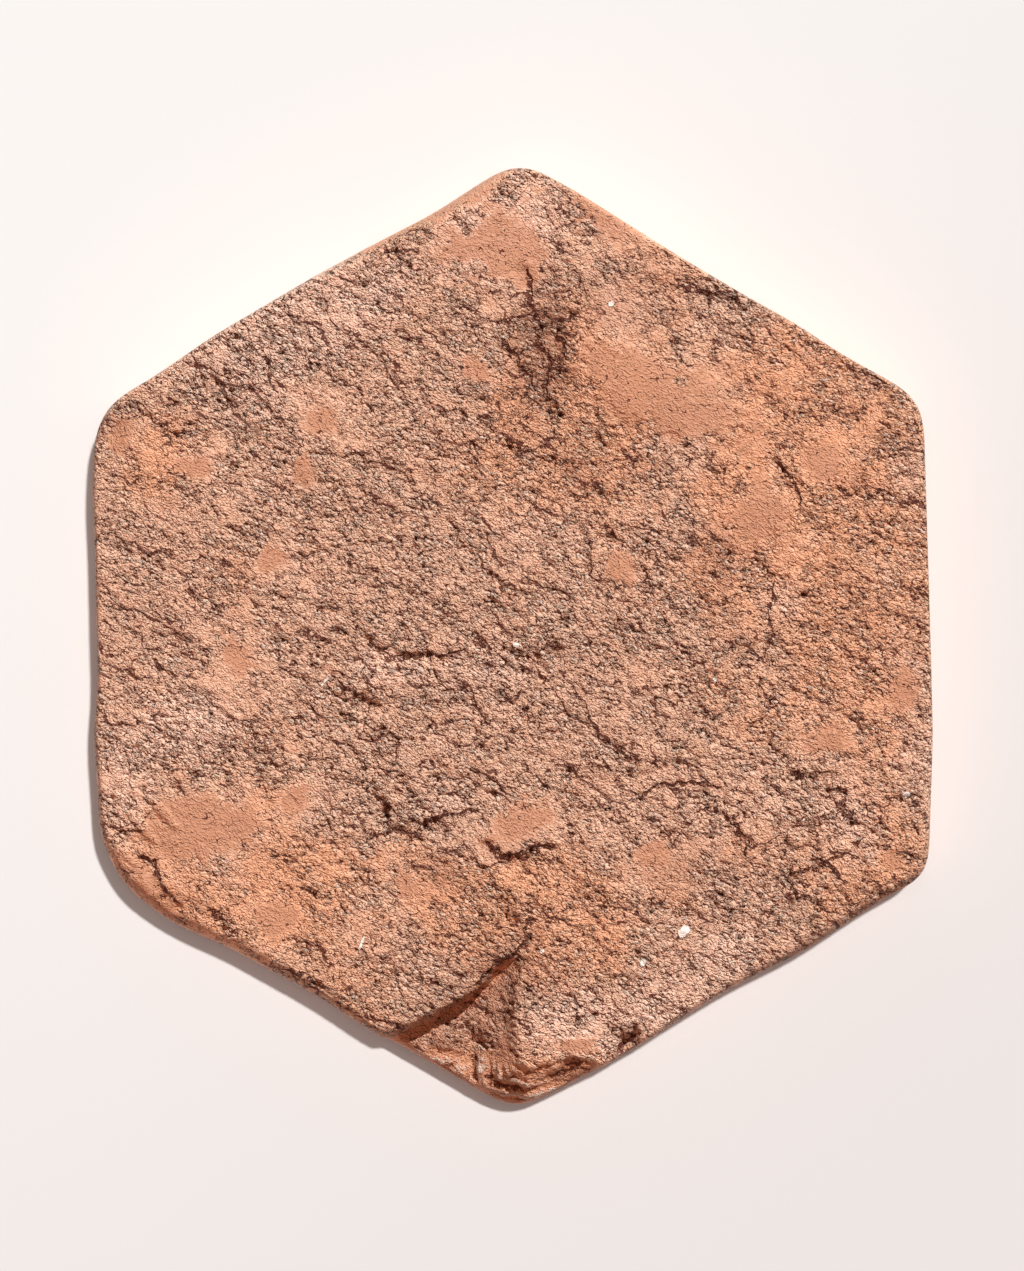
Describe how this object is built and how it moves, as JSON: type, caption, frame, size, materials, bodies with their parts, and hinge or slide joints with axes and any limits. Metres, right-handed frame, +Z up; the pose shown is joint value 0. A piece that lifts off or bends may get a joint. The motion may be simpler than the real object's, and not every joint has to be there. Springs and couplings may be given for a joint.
{
  "type": "terracotta hexagon tile",
  "caption": "Hand-made hexagonal floor tile of fired clay, with a rough torn face, softened edges, a flat bed and a broken lower corner.",
  "frame": {"origin": "middle of the flat bed, centred on the tile's outline", "axes": "+Z up from the bed through the thickness, +Y from the middle to the upper point of the hexagon, +X to its right-hand flat side"},
  "size_m": [0.2013, 0.2257, 0.0212],
  "materials": {
    "terracotta": "matt unglazed fired clay, rough and porous"
  },
  "bodies": {
    "root": {"tile": "terracotta"}
  },
  "joints": []
}
